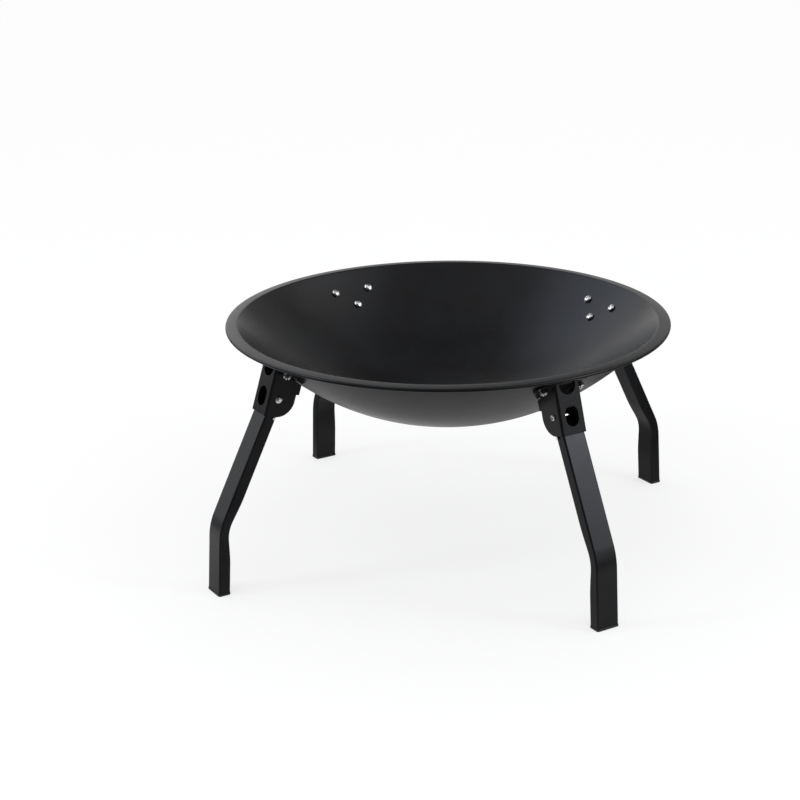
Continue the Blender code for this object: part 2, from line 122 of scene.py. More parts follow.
def linear(hex_colour: str) -> tuple[float, float, float, float]:
    """Turn an sRGB colour into linear light.

    Args:
        hex_colour: A hash and six hex digits.

    Returns:
        Red, green and blue in linear light, and an alpha of 1.
    """
    channels = [int(hex_colour[i : i + 2], 16) / 255 for i in (1, 3, 5)]
    red, green, blue = (c / 12.92 if c <= 0.04045 else ((c + 0.055) / 1.055) ** 2.4 for c in channels)
    return red, green, blue, 1.0


def feed(tree: NodeTree, node: Node, inputs: Inputs) -> None:
    """Set or link a node's inputs.

    Args:
        tree: Node tree of the node.
        node: The node.
        inputs: For each input, by name or index, its value, its source, or a node whose first output is its source.
    """
    for name, value in inputs.items():
        source = value.outputs[0] if isinstance(value, Node) else value
        if isinstance(source, NodeSocket):
            tree.links.new(source, node.inputs[name])
        else:
            node.inputs[name].default_value = source


def add_node(tree: NodeTree, kind: str, inputs: Inputs | None = None, **settings: Any) -> Node:
    """Add one node, set it and link it.

    Args:
        tree: Node tree that gets the node.
        kind: Type of the node, after the words ShaderNode.
        inputs: What feeds its inputs.
        settings: Properties of the node itself.

    Returns:
        The new node.
    """
    node = tree.nodes.new(f"ShaderNode{kind}")
    for name, value in settings.items():
        setattr(node, name, value)
    feed(tree, node, inputs or {})
    return node


def blank_material(name: str) -> tuple[Material, NodeTree, Node]:
    """Make a material with a Principled shader.

    Args:
        name: Name of the material.

    Returns:
        The material, its tree, and a position on the piece in metres that differs from piece to piece.
    """
    material = bpy.data.materials.new(name)
    material.use_nodes = True
    tree = material.node_tree
    place = add_node(tree, "TexCoord").outputs["Object"]
    chance = add_node(tree, "ObjectInfo").outputs["Random"]
    return material, tree, add_node(tree, "VectorMath", {0: place, 1: chance}, operation="ADD")


def pattern(place: Node, width_mm: float, detail: float = 2.0) -> Inputs:
    """Set out a texture whose features are this wide."""
    return {"Vector": place, "Scale": 1 / (width_mm * MM), "Detail": detail}


def dress(
    tree: NodeTree, share: Node, colours: tuple[str, str], reliefs: Iterable[tuple[Node, float]], inputs: Inputs
) -> None:
    """Feed the Principled shader.

    Args:
        tree: Node tree of the material.
        share: Share of the second colour.
        colours: The two colours that are blended, in sRGB.
        reliefs: Height and depth in mm of each relief, laid over one another.
        inputs: The shader's other inputs.
    """
    ends = {0: share, 6: linear(colours[0]), 7: linear(colours[1])}
    colour = {"Base Color": add_node(tree, "Mix", ends, data_type="RGBA").outputs[2]}
    normal: Inputs = {}
    for height, depth_mm in reliefs:
        normal = {"Normal": add_node(tree, "Bump", {"Height": height, "Distance": depth_mm * MM} | normal)}
    feed(tree, tree.nodes["Principled BSDF"], inputs | colour | normal)


@dataclass(frozen=True)
class HeatCoat:
    """Black heat paint, sprayed on pressed steel and baked.

    The eye gets a satin black with a faint orange peel, a dry powdery bloom in soft clouds, and a strong pale sheen
    where it looks along the surface.
    """

    name: str
    ground: str = "#111113"
    bloom: str = "#17181a"
    ior: float = 1.46
    # The film is full of pigment and pores, so it has less of a glossy skin than its resin alone
    sheen: float = 0.20
    roughness: tuple[float, float] = (0.26, 0.30)
    bloom_mm: float = 60.0
    # Part of the noise's range over which the ground turns to bloom
    bloom_edge: tuple[float, float] = (0.35, 0.65)
    # Real peel is about 1 mm from crest to crest, which is one pixel, so it is drawn three times as wide
    peel_mm: float = 3.0
    peel_depth_mm: float = 0.020
    # Dry spray dust is far under 0.1 mm, and is drawn as grains that can just be seen
    grain_mm: float = 1.1
    grain_depth_mm: float = 0.012

    def material(self) -> Material:
        """Make the material of this finish."""
        material, tree, place = blank_material(self.name)
        cloud = add_node(tree, "TexNoise", pattern(place, self.bloom_mm))
        edge = {"Value": cloud, "From Min": self.bloom_edge[0], "From Max": self.bloom_edge[1]}
        share = add_node(tree, "MapRange", edge)
        dull = {"Value": share, "To Min": self.roughness[0], "To Max": self.roughness[1]}
        peel = add_node(tree, "TexNoise", pattern(place, self.peel_mm, 1.0))
        grain = add_node(tree, "TexNoise", pattern(place, self.grain_mm))
        reliefs = ((peel, self.peel_depth_mm), (grain, self.grain_depth_mm))
        inputs = {"Roughness": add_node(tree, "MapRange", dull), "IOR": self.ior, "Specular IOR Level": self.sheen}
        dress(tree, share, (self.ground, self.bloom), reliefs, inputs)
        return material


@dataclass(frozen=True)
class ZincPlate:
    """Bright zinc on cold-headed steel, plated in a barrel.

    The eye gets a bright silvery metal, a little blue and a little yellow from the passivation, with small dents and
    scuffs from tumbling against other fasteners.
    """

    name: str = "barrel_plated_zinc"
    cool: str = "#dfe3e9"
    warm: str = "#e4e0d6"
    roughness: tuple[float, float] = (0.11, 0.23)
    tint_mm: float = 3.0
    scuff_mm: float = 0.9
    # Part of the noise's range over which the roughness grows
    scuff_edge: tuple[float, float] = (0.3, 0.7)
    scuff_depth_mm: float = 0.02

    def material(self) -> Material:
        """Make the material of this finish."""
        material, tree, place = blank_material(self.name)
        tint = add_node(tree, "TexNoise", pattern(place, self.tint_mm))
        scuff = add_node(tree, "TexNoise", pattern(place, self.scuff_mm, 3.0))
        (start, end), (low, high) = self.scuff_edge, self.roughness
        dull = {"Value": scuff, "From Min": start, "From Max": end, "To Min": low, "To Max": high}
        inputs = {"Roughness": add_node(tree, "MapRange", dull), "Metallic": 1.0}
        dress(tree, tint, (self.cool, self.warm), [(scuff, self.scuff_depth_mm)], inputs)
        return material


@dataclass(frozen=True)
class MouldedPolyethylene:
    """Black polyethylene, injection moulded in an etched tool.

    The eye gets a soft dull black with a fine leathery grain and dusty wear where the sole meets the ground.
    """

    name: str = "moulded_black_polyethylene"
    ground: str = "#131314"
    dust: str = "#262524"
    ior: float = 1.51
    roughness: float = 0.58
    # The etched grain is about 0.3 mm wide, and is drawn three times as wide
    grain_mm: float = 0.9
    grain_depth_mm: float = 0.03
    dust_height_mm: float = 1.6

    def material(self) -> Material:
        """Make the material of this finish."""
        material, tree, place = blank_material(self.name)
        grain = add_node(tree, "TexVoronoi", pattern(place, self.grain_mm, 0.0))
        smudge = add_node(tree, "TexNoise", pattern(place, 2 * self.grain_mm))
        level = add_node(tree, "SeparateXYZ", {0: add_node(tree, "NewGeometry")}).outputs["Z"]
        fade = {"Value": level, "From Min": 0.0, "From Max": self.dust_height_mm * MM, "To Min": 1.0, "To Max": 0.0}
        share = add_node(tree, "Math", {0: add_node(tree, "MapRange", fade), 1: smudge}, operation="MULTIPLY")
        inputs = {"Roughness": self.roughness, "IOR": self.ior}
        dress(tree, share, (self.ground, self.dust), [(grain, self.grain_depth_mm)], inputs)
        return material


@dataclass(frozen=True)
class Finishes:
    """The materials of the pieces, each made once."""

    bowl_coat: Material
    frame_coat: Material
    zinc: Material
    plastic: Material

    @classmethod
    def made(cls) -> "Finishes":
        """Make every material."""
        return cls(
            HeatCoat("heat_paint_on_pressed_bowl").material(),
            HeatCoat("heat_paint_on_tube_and_bracket", peel_mm=2.2, bloom_mm=30.0).material(),
            ZincPlate().material(),
            MouldedPolyethylene().material(),
        )


# Mesh making


def arc(centre: Point, radius: float, start: float, end: float, steps: int) -> Section:
    """Lay points along an arc.

    Args:
        centre: Centre of the arc.
        radius: Radius of the arc.
        start: First angle.
        end: Last angle.
        steps: Number of equal steps.

    Returns:
        Both ends and the points between them.
    """
    angles = [start + (end - start) * i / steps for i in range(steps + 1)]
    return [(centre[0] + radius * math.cos(a), centre[1] + radius * math.sin(a)) for a in angles]


def circle(centre: Point, radius: float, steps: int) -> Section:
    """Lay points round a full circle, with none on a mirror plane of the part."""
    half_step = math.pi / steps
    return arc(centre, radius, half_step, half_step + 2 * math.pi, steps)[:-1]


def dome(radius: float, low: float, high: float, steps: int) -> Section:
    """Profile a domed head.

    Args:
        radius: Radius of its edge.
        low: Height of its edge.
        high: Height of its top.
        steps: Steps from the axis to the edge.

    Returns:
        Radius and height of each point, from the top on the axis down to the edge.
    """
    rise = high - low
    sphere = (radius**2 + rise**2) / (2 * rise)
    half = math.asin(min(radius / sphere, 1.0))
    angles = [half * i / steps for i in range(steps + 1)]
    return [(sphere * math.sin(a), high - sphere + sphere * math.cos(a)) for a in angles]


def mesh_from(bm: bmesh.types.BMesh, name: str) -> Mesh:
    """Turn a bmesh into a mesh.

    Args:
        bm: The bmesh, which is used up.
        name: Name of the mesh.

    Returns:
        The mesh, its faces looking outward.
    """
    bmesh.ops.recalc_face_normals(bm, faces=bm.faces)
    mesh = bpy.data.meshes.new(name)
    bm.to_mesh(mesh)
    bm.free()
    return mesh


def skin(bm: bmesh.types.BMesh, rings: Sequence[Sequence[Vector]], closed: bool, filled: bool) -> None:
    """Skin over rings of equal counts.

    Args:
        bm: Gets the smooth faces.
        rings: The rings, each a closed loop of points.
        closed: Whether the last ring joins the first.
        filled: Whether the first and the last ring are filled.
    """
    loops = [[bm.verts.new(point) for point in ring] for ring in rings]
    pairs = list(zip(loops, loops[1:] + loops[:1]))
    if not closed:
        pairs.pop()
    if filled:
        bm.faces.new(loops[0])
        bm.faces.new(loops[-1])
    for lower, upper in pairs:
        for i in range(len(lower)):
            j = (i + 1) % len(lower)
            bm.faces.new((lower[i], lower[j], upper[j], upper[i])).smooth = True


def lofted(name: str, rings: Sequence[Sequence[Vector]], closed: bool = False) -> Mesh:
    """Make a mesh over rings.

    Args:
        name: Name of the mesh.
        rings: The rings, each a closed loop of points.
        closed: Whether the last ring joins the first. If not, both ends are filled.

    Returns:
        The closed mesh.
    """
    bm = bmesh.new()
    skin(bm, rings, closed, not closed)
    return mesh_from(bm, name)


def turned(name: str, profile: Section, steps: int) -> Mesh:
    """Turn a profile once about Z.

    Args:
        name: Name of the mesh.
        profile: Radius and height of each point, the first and the last on the axis.
        steps: Steps of the full turn.

    Returns:
        The closed mesh.
    """
    bm = bmesh.new()
    first, last = (bm.verts.new((0, 0, z)) for _, z in (profile[0], profile[-1]))
    turns = arc((0, 0), 1, 0, 2 * math.pi, steps)[:-1]
    rings = [[bm.verts.new((r * c, r * s, z)) for c, s in turns] for r, z in profile[1:-1]]
    for i in range(steps):
        j = (i + 1) % steps
        bm.faces.new((first, rings[0][i], rings[0][j]))
        bm.faces.new((last, rings[-1][j], rings[-1][i]))
        for upper, lower in zip(rings, rings[1:]):
            bm.faces.new((upper[i], lower[i], lower[j], upper[j]))
    return mesh_from(bm, name)


def extruded(name: str, outline: Section, low: float, high: float, place: Matrix) -> Mesh:
    """Extrude an outline.

    Args:
        name: Name of the mesh.
        outline: The outline in the place's X and Y.
        low: Lower end along the place's Z.
        high: Upper end along the place's Z.
        place: Where the outline lies.

    Returns:
        The closed mesh.
    """
    return lofted(name, [[place @ Vector((x, y, depth)) for x, y in outline] for depth in (low, high)])


def placed(name: str, data: bpy.types.ID) -> Object:
    """Put an object into the scene.

    Args:
        name: Name of the object.
        data: The mesh, lamp or camera that it shows.

    Returns:
        The object, at the origin.
    """
    item = bpy.data.objects.new(name, data)
    bpy.context.scene.collection.objects.link(item)
    return item


def treated(mesh: Mesh, treat: Callable[[Object], None]) -> Mesh:
    """Apply modifiers to a mesh.

    Args:
        mesh: The mesh, which is used up.
        treat: Adds the modifiers to an object that shows the mesh.

    Returns:
        The mesh with the modifiers applied.
    """
    body = placed(mesh.name, mesh)
    treat(body)
    result = bpy.data.meshes.new_from_object(body.evaluated_get(bpy.context.evaluated_depsgraph_get()))
    name = mesh.name
    bpy.data.objects.remove(body)
    bpy.data.meshes.remove(mesh)
    result.name = name
    return result


def combined(mesh: Mesh, tools: Iterable[Mesh], operation: str) -> Mesh:
    """Cut tools from a mesh, join them to it or cross them with it.

    Args:
        mesh: The mesh to work on.
        tools: Closed meshes, applied in turn and used up.
        operation: DIFFERENCE, UNION or INTERSECT.

    Returns:
        The worked mesh.
    """
    helpers = [placed(tool.name, tool) for tool in tools]

    def add_booleans(body: Object) -> None:
        """Add one boolean for each tool."""
        for helper in helpers:
            modifier = body.modifiers.new(helper.name, "BOOLEAN")
            modifier.operation, modifier.solver, modifier.object = operation, "EXACT", helper

    result = treated(mesh, add_booleans)
    for helper in helpers:
        used = helper.data
        bpy.data.objects.remove(helper)
        bpy.data.meshes.remove(used)
    return result


def cleaned(mesh: Mesh) -> Mesh:
    """Tidy a cut mesh.

    Args:
        mesh: The mesh to work on.

    Returns:
        The same mesh, with slivers merged, faces in one plane joined, and those that aren't convex split.
    """
    bm = bmesh.new()
    bm.from_mesh(mesh)
    bmesh.ops.remove_doubles(bm, verts=bm.verts, dist=WELD)
    bmesh.ops.dissolve_degenerate(bm, edges=bm.edges, dist=SLIVER)
    bmesh.ops.dissolve_limit(bm, angle_limit=FLAT_ANGLE, verts=bm.verts, edges=bm.edges)
    bmesh.ops.connect_verts_concave(bm, faces=bm.faces)
    bm.to_mesh(mesh)
    bm.free()
    return mesh


def rounded_off(mesh: Mesh, width: float = 0.0, least_angle: float = 50.0) -> Mesh:
    """Round the sharp edges and keep flat faces flat to the eye.

    Args:
        mesh: The mesh to work on.
        width: Width of the rounding, or zero for none.
        least_angle: Least angle in degrees between two faces whose edge is rounded.

    Returns:
        The worked mesh.
    """

    def add_rounding(body: Object) -> None:
        """Add the bevel and the weighted normals."""
        least = math.radians(least_angle)
        if width:
            bevel = body.modifiers.new("bevel", "BEVEL")
            bevel.width, bevel.segments, bevel.use_clamp_overlap = width, ROUNDING_SEGMENTS, False
            bevel.limit_method, bevel.angle_limit = "ANGLE", least
        body.data.shade_smooth()
        body.data.set_sharp_from_angle(angle=least if width else SMOOTH_ANGLE)
        weigh = body.modifiers.new("weigh", "WEIGHTED_NORMAL")
        weigh.keep_sharp = not width

    return treated(mesh, add_rounding)


# Pieces


def show_piece(name: str, mesh: Mesh, place: Matrix, body: str, node: str, finish: Material, slot: Slot) -> None:
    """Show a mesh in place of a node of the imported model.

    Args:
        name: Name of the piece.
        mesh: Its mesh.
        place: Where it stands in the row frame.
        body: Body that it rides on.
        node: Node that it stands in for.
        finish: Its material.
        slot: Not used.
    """
    if not mesh.materials:
        mesh.materials.append(finish)
    piece = placed(name, mesh)
    piece.matrix_world = place
    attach(piece, body)
    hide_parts(node)
    log.info("%s stands in for %s on %s, %d faces", name, node, body, len(mesh.polygons))


def show_at_stations(
    name: str, mesh: Mesh, place: Matrix, node: str, finish: Material, slot: Slot, folds: bool = False
) -> None:
    """Show a mesh at every station.

    Args:
        name: Name of the piece, before the station's.
        mesh: Its mesh.
        place: Where it stands in the station.
        node: Name of the node that it stands in for, before the station's.
        finish: Its material.
        slot: Slot of the record that the finish belongs to.
        folds: Whether it folds with the leg, or else stays with the bowl.
    """
    for station in Station:
        body = station.leg_body if folds else "bowl_body"
        at = station.turn @ place
        show_piece(f"{name}_{station.label}", mesh, at, body, f"{node}_{station.label}", finish, slot)


@dataclass
class Bowl:
    """Pressed sheet with a falling lip and an open rolled hem."""

    # The bowl is 550 mm wide and 290 mm high. The finer hem stays a hair inside the solid's facets
    rim_radius: float = 274.99 * MM
    rim_height: float = 289.98 * MM
    sheet: float = 1.2 * MM
    lip_width: float = 15.7 * MM
    lip_bend_radius: float = 3.2 * MM
    # The lip falls more and more outward
    lip_fall: tuple[float, float] = (math.radians(1.5), math.radians(7.5))
    hem_radius: float = 2.2 * MM
    hem_opening: float = 1.2 * MM
    # How far the hem's raw edge bulges, sheared and then rounded by the roll
    edge_bulge: float = 0.24 * MM
    wall_fall: float = 119.6 * MM
    wall_power: float = 2.33
    bolt_inset: float = 36.5 * MM
    lower_bolt_inset: float = 53.4 * MM
    bolt_spread: float = 25.1 * MM
    hole_radius: float = 2.8 * MM
    round_steps: int = 288
    wall_steps: int = 56
    bend_steps: int = 10
    hem_steps: int = 22
    hole_steps: int = 20
    # Where the lip's rings lie, as shares of its width
    lip_rings: tuple[float, ...] = (0.02, 0.18, 0.34, 0.50, 0.67, 0.83, 0.98, 1.0)
    wall_radius: float = field(init=False)
    wall_top: float = field(init=False)

    def __post_init__(self) -> None:
        """Work out where the wall ends and the lip's bend starts."""
        self.wall_radius = self.rim_radius - self.lip_width
        top_slope = self.wall_slope(self.wall_radius)
        self.wall_top = self.rim_height - self.lip_bend_radius * (1 - math.cos(top_slope))

    def wall_slope(self, radius: float) -> float:
        """Slope of the wall at a radius."""
        steepest = self.wall_fall * self.wall_power / self.wall_radius
        return math.atan(steepest * (radius / self.wall_radius) ** (self.wall_power - 1))

    def wall_point(self, radius: float, below: float) -> tuple[float, float, float]:
        """Find the point that lies under the wall's inner face, square to it.

        Args:
            radius: Radius on the inner face.
            below: Distance under it.

        Returns:
            Radius, height and slope.
        """
        slope = self.wall_slope(radius)
        height = self.wall_top - self.wall_fall * (1 - (radius / self.wall_radius) ** self.wall_power)
        return radius + below * math.sin(slope), height - below * math.cos(slope), slope

    def seat(self, place: BoltPlace) -> Matrix:
        """Find where a bolt sits.

        Args:
            place: Which bolt of the station.

        Returns:
            Place in the station, with +Z up the bolt's axis into the bowl and Z = 0 on the wall's inner face.
        """
        inset = self.lower_bolt_inset if place is BoltPlace.LOWER else self.bolt_inset
        offset = {BoltPlace.LEFT: -self.bolt_spread, BoltPlace.RIGHT: self.bolt_spread, BoltPlace.LOWER: 0.0}[place]
        radius = self.rim_radius - inset
        r, z, slope = self.wall_point(radius, 0)
        turn = Matrix.Rotation(math.asin(offset / radius), 4, "Z")
        return turn @ Matrix.Translation((r, 0, z)) @ Matrix.Rotation(-slope, 4, "Y")

    def path(self) -> list[tuple[float, float, float]]:
        """Trace the upper face of the sheet.

        Returns:
            Radius, height and direction of each point, from the middle to the end of the hem.
        """
        path = [self.wall_point(self.wall_radius * i / self.wall_steps, 0) for i in range(self.wall_steps + 1)]

        def bend(radius: float, start: float, end: float, steps: int) -> None:
            """Bend to the right from the path's last point.

            Args:
                radius: Radius of the bend.
                start: Direction where it starts.
                end: Direction where it ends.
                steps: Number of equal steps.
            """
            r, z, _ = path[-1]
            centre = (r + radius * math.sin(start), z - radius * math.cos(start))
            for i in range(1, steps + 1):
                a = start + (end - start) * i / steps
                path.append((centre[0] - radius * math.sin(a), centre[1] + radius * math.cos(a), a))

        least, most = self.lip_fall
        bend(self.lip_bend_radius, self.wall_slope(self.wall_radius), -least, self.bend_steps)
        lip_end = self.rim_radius - self.hem_radius + self.hem_radius * math.sin(most)
        r, z, _ = path[-1]
        for share in self.lip_rings:
            run, gain = (lip_end - r) * share, (most - least) * share
            path.append((r + run, z - run * (least + gain / 2), -least - gain))
        turn = 2 * math.pi - math.acos((self.hem_radius - self.sheet - self.hem_opening) / self.hem_radius)
        bend(self.hem_radius, -most, -most - turn, self.hem_steps)
        return path

    def mesh(self) -> Mesh:
        """Build the bowl with its bolt holes."""
        path = self.path()
        upper = [(r, z) for r, z, _ in path]
        under = [(r + self.sheet * math.sin(a), z - self.sheet * math.cos(a)) for r, z, a in path]
        bulge = self.edge_bulge * Vector((math.cos(path[-1][2]), math.sin(path[-1][2])))
        ends = Vector(upper[-1]), Vector(under[-1])
        edge = [tuple((end + ends[0] + ends[1]) / 3 + bulge) for end in ends]
        bowl = turned("bowl", upper + edge + under[::-1], self.round_steps)
        hole, reach = circle((0, 0), self.hole_radius, self.hole_steps), 5 * self.sheet
        seats = [station.turn @ self.seat(place) for station in Station for place in BoltPlace]
        bowl = combined(bowl, [extruded("hole", hole, -reach, reach, seat) for seat in seats], "DIFFERENCE")
        bowl.shade_smooth()
        bowl.set_sharp_from_angle(angle=SMOOTH_ANGLE)
        return bowl

    def show(self, finishes: Finishes) -> None:
        """Show the bowl."""
        coat = finishes.bowl_coat
        show_piece("fire_bowl", self.mesh(), Matrix.Identity(4), "bowl_body", "bowl", coat, Slot.HEAT_COAT)


@dataclass
class Hinge:
    """Places and sizes that a bracket and its leg share."""

    pivot: Vector = field(default_factory=lambda: Vector((248.0 * MM, 0, 234.5 * MM)))
    web_lean: float = math.radians(17.5)
    leg_lean: float = math.radians(26.7)
    foot_splay: float = math.radians(3.6)
    tube_width: float = 30.0 * MM
    tube_depth: float = 15.0 * MM
    side_play: float = 0.3 * MM
    swing_space: float = 0.5 * MM
    sheet: float = 1.8 * MM
    ear_radius: float = 22.1 * MM
    rivet_radius: float = 3.0 * MM
    pin_radius: float = 1.8 * MM
    pin_inward: float = 4.0 * MM
    half_width: float = field(init=False)
    web_inner: float = field(init=False)
    web_outer: float = field(init=False)

    def __post_init__(self) -> None:
        """Set the web where the unfolded leg rests on its lower edge."""
        self.half_width = self.tube_width / 2 + self.side_play + self.sheet
        lean = self.leg_lean - self.web_lean
        self.web_inner = (self.tube_depth / 2 + GAP) / math.cos(lean) + self.ear_radius * math.tan(lean)
        self.web_outer = self.web_inner + self.sheet

    @property
    def bracket_place(self) -> Matrix:
        """The bracket's own frame in the station: X out through the web, Y along the hinge, Z up the web."""
        return Matrix.Translation(self.pivot) @ Matrix.Rotation(-self.web_lean, 4, "Y")

    @property
    def pin_place(self) -> Vector:
        """Centre of the rest pin, from the pivot."""
        down = math.sqrt((self.ear_radius + GAP + self.pin_radius) ** 2 - self.pin_inward**2)
        return self.leg_direction(self.leg_lean) * down - self.leg_outward(self.leg_lean) * self.pin_inward

    def leg_direction(self, lean: float) -> Vector:
        """Point down the leg where it leans outward by this angle."""
        return Vector((math.sin(lean), 0, -math.cos(lean)))

    def leg_outward(self, lean: float) -> Vector:
        """Point outward, square to the leg, where it leans outward by this angle."""
        return Vector((math.cos(lean), 0, math.sin(lean)))


@dataclass
class Bracket:
    """One folded sheet: a web outside the leg, an ear each side and a plate bolted under the bowl."""

    bowl: Bowl
    hinge: Hinge
    bend: float = 2.8 * MM
    shoulder_rise: float = 8.0 * MM
    shoulder_step: float = 4.0 * MM
    slot_width: float = 17.5 * MM
    slot_height: float = 24.0 * MM
    slot_drop: float = 1.4 * MM
    notch_radius: float = 11.0 * MM
    notch_drop: float = 2.5 * MM
    plate_upper_corner: float = 11.5 * MM
    plate_lower_corner: float = 9.5 * MM
    edge_rounding: float = 0.3 * MM
    arc_steps: int = 24
    hole_steps: int = 24
    notch_steps: int = 48
    corner_steps: int = 72
    bend_steps: int = 8
    plate_steps: int = 28
    # How often the search for a point under the wall halves its range
    halvings: int = 40

    @property
    def plate_top(self) -> float:
        """Depth of the plate's upper face under the wall's inner face."""
        return self.bowl.sheet + GAP

    @property
    def plate_bottom(self) -> float:
        """Depth of the plate's lower face under the wall's inner face."""
        return self.plate_top + self.hinge.sheet

    def seat_at(self, across: float, below: float) -> Vector:
        """Find a point under the wall.

        Args:
            across: Distance outward from the pivot, in the bracket's frame.
            below: Depth under the wall's inner face.

        Returns:
            The point in the bracket's frame.
        """
        to_bracket = self.hinge.bracket_place.inverted()
        low, high = 0.0, self.bowl.rim_radius
        point = Vector()
        for _ in range(self.halvings):
            middle = (low + high) / 2
            r, z, _slope = self.bowl.wall_point(middle, below)
            point = to_bracket @ Vector((r, 0, z))
            low, high = (middle, high) if point.x < across else (low, middle)
        return point

    def ears_outline(self) -> Section:
        """Outline the ears, seen along the hinge."""
        radius, outer = self.hinge.ear_radius, self.hinge.web_outer
        inner = -radius - self.shoulder_step
        outline = [(outer, -radius)]
        outline += arc((0, 0), radius, -math.pi / 2, -math.pi, self.arc_steps)
        outline += [(-radius, self.shoulder_rise), (inner, self.shoulder_rise)]
        for i in range(self.arc_steps + 1):
            point = self.seat_at(inner + (outer - inner) * i / self.arc_steps, self.plate_top + GAP)
            outline.append((point.x, point.z))
        return outline

    def folded_section(self, open_end: float) -> Section:
        """Outline the folded sheet, seen along the web.

        Args:
            open_end: Where the ears stop, in X.

        Returns:
            The closed outline.
        """
        half, sheet, outer = self.hinge.half_width, self.hinge.sheet, self.bend
        inner, inner_half = outer - sheet, half - sheet
        far, near = self.hinge.web_outer, self.hinge.web_inner
        steps, inner_steps = self.bend_steps, self.bend_steps // 2
        points = [(open_end, -half)]
        points += arc((far - outer, outer - half), outer, -math.pi / 2, 0, steps)
        points += arc((far - outer, half - outer), outer, 0, math.pi / 2, steps)
        points += [(open_end, half), (open_end, inner_half)]
        points += arc((near - inner, inner_half - inner), inner, math.pi / 2, 0, inner_steps)
        points += arc((near - inner, inner - inner_half), inner, 0, -math.pi / 2, inner_steps)
        points.append((open_end, -inner_half))
        return points

    def channel(self) -> Mesh:
        """Build the web and the ears."""
        outline = self.ears_outline()
        reach, tall = 2 * self.hinge.half_width, 2 * outline[-1][1]
        ears = extruded("ears", outline, -reach, reach, HINGE_VIEW)
        section = self.folded_section(-2 * (self.hinge.ear_radius + self.shoulder_step))
        return combined(extruded("channel", section, -tall, tall, Matrix.Identity(4)), [ears], "INTERSECT")

    def plate(self) -> Mesh:
        """Build the plate: a shell of the wall's own curve, cut to a triangle round its bolts."""
        bowl, steps = self.bowl, self.plate_steps
        upper_radius, lower_radius = bowl.rim_radius - bowl.bolt_inset, bowl.rim_radius - bowl.lower_bolt_inset
        inner = lower_radius - 2 * self.plate_lower_corner
        radii = [inner + (bowl.wall_radius - inner) * i / steps for i in range(steps + 1)]
        section = [bowl.wall_point(r, self.plate_top) for r in radii]
        section += [bowl.wall_point(r, self.plate_bottom) for r in radii[::-1]]
        half_turn = (bowl.bolt_spread + 2 * self.plate_upper_corner) / inner
        turns = [Matrix.Rotation(half_turn * (2 * i / (steps - 1) - 1), 4, "Z") for i in range(steps)]
        shell = lofted("shell", [[turn @ Vector((r, 0, z)) for r, z, _ in section] for turn in turns])
        square_to_wall = Matrix.Rotation(-bowl.wall_slope((upper_radius + lower_radius) / 2), 4, "Y")
        web_top = self.hinge.bracket_place @ self.seat_at(self.hinge.web_outer, self.plate_top)
        columns = [web_top + Vector((0, y, 0)) for y in (-self.hinge.half_width, self.hinge.half_width)]
        for place in BoltPlace:
            corner = self.plate_lower_corner if place is BoltPlace.LOWER else self.plate_upper_corner
            post = Matrix.Translation(bowl.seat(place).translation) @ square_to_wall
            columns += [post @ Vector((x, y, 0)) for x, y in circle((0, 0), corner, self.corner_steps)]
        reach = square_to_wall @ Vector((0, 0, bowl.bolt_inset))
        bm = bmesh.new()
        for column in columns:
            bm.verts.new(column - reach)
            bm.verts.new(column + reach)
        bmesh.ops.convex_hull(bm, input=bm.verts)
        bmesh.ops.delete(bm, geom=[v for v in bm.verts if not v.link_faces], context="VERTS")
        plate = combined(shell, [mesh_from(bm, "triangle")], "INTERSECT")
        plate.transform(self.hinge.bracket_place.inverted())
        return plate

    def cutters(self) -> list[Mesh]:
        """Build what is punched out: the slot, the bend relief, the rivet's hole and the bolts' holes."""
        half = self.slot_width / 2
        rise = (self.slot_height - self.slot_width) / 2
        slot = arc((0, rise - self.slot_drop), half, 0, math.pi, self.arc_steps)
        slot += arc((0, -rise - self.slot_drop), half, math.pi, 2 * math.pi, self.arc_steps)
        notch_centre = self.seat_at(self.hinge.web_outer, self.plate_bottom).z - self.notch_drop
        notch = circle((0, notch_centre), self.notch_radius, self.notch_steps)
        low, high = self.hinge.web_inner - self.hinge.sheet / 2, self.hinge.web_outer + self.hinge.sheet
        reach, bolt_reach = 2 * self.hinge.half_width, 2 * self.plate_bottom
        pivot_hole = circle((0, 0), self.hinge.rivet_radius + GAP, self.hole_steps)
        bolt_hole = circle((0, 0), self.bowl.hole_radius, self.hole_steps)
        to_bracket = self.hinge.bracket_place.inverted()
        return [
            extruded("slot", slot, low, high, FRONT_VIEW),
            extruded("notch", notch, low, high, FRONT_VIEW),
            extruded("pivot_hole", pivot_hole, -reach, reach, HINGE_VIEW),
        ] + [
            extruded("bolt_hole", bolt_hole, -bolt_reach, bolt_reach, to_bracket @ self.bowl.seat(place))
            for place in BoltPlace
        ]

    def mesh(self) -> Mesh:
        """Build the bracket in its own frame."""
        bracket = combined(self.channel(), [self.plate()], "UNION")
        bracket = combined(bracket, self.cutters(), "DIFFERENCE")
        bracket.name = "bracket"
        return rounded_off(cleaned(bracket), self.edge_rounding)

    def show(self, finishes: Finishes) -> None:
        """Show a bracket at each station."""
        place, coat = self.hinge.bracket_place, finishes.frame_coat
        show_at_stations("hinge_bracket", self.mesh(), place, "bracket", coat, Slot.HEAT_COAT)


